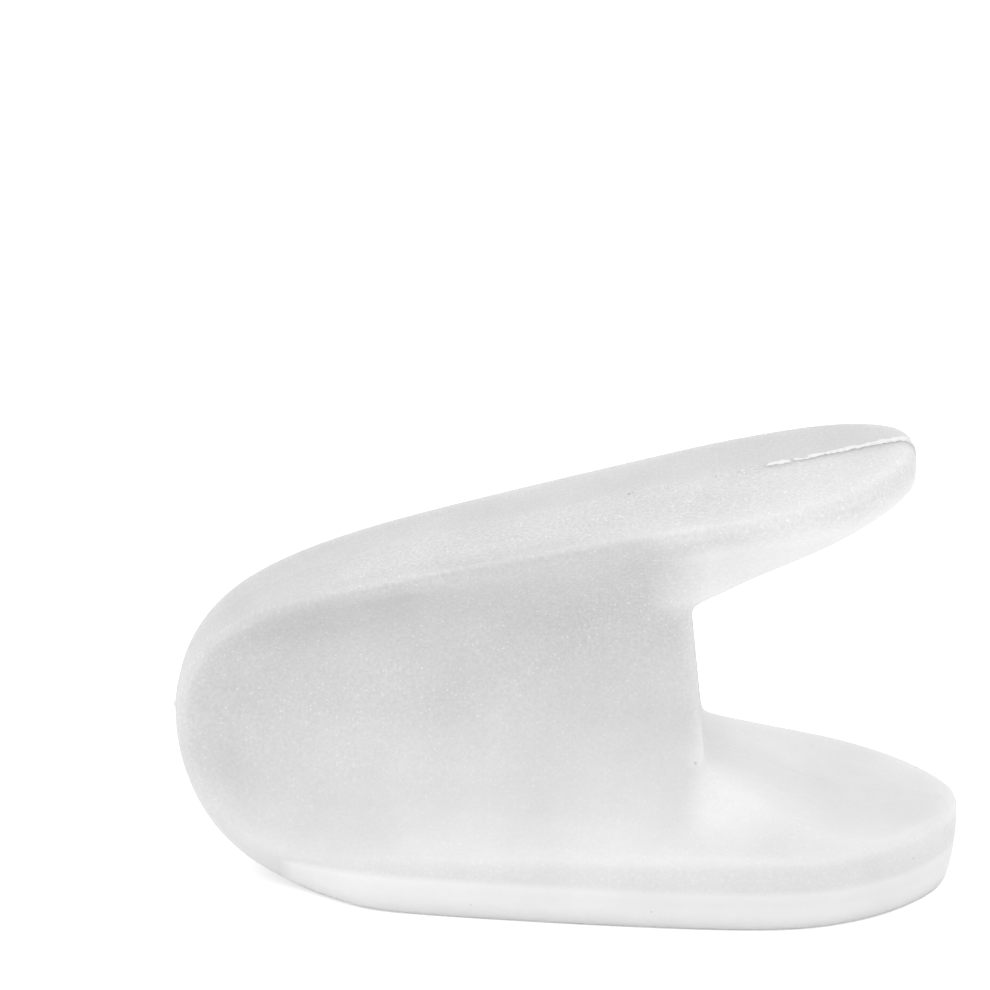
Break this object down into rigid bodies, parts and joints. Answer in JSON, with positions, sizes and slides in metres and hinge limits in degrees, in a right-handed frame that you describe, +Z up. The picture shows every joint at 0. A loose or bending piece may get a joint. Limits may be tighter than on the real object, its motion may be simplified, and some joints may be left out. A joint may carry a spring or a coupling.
{
  "type": "toe separator",
  "caption": "Soft moulded gel toe separator: narrow and broad flanges joined by a rounded nose and a thin web, with a toe cradle on each side and a wedge notch at the open end.",
  "frame": {"origin": "centre of the body's box on the surface it stands on, under the sole of the broad flange", "axes": "+X from the rounded nose to the open end with the notch, +Y across the mould's parting plane, +Z up from the broad flange to the narrow one"},
  "size_m": [0.048, 0.0202, 0.0281],
  "materials": {
    "gel": "satin, milky and translucent"
  },
  "bodies": {
    "root": {"separator_body": "gel"}
  },
  "joints": []
}
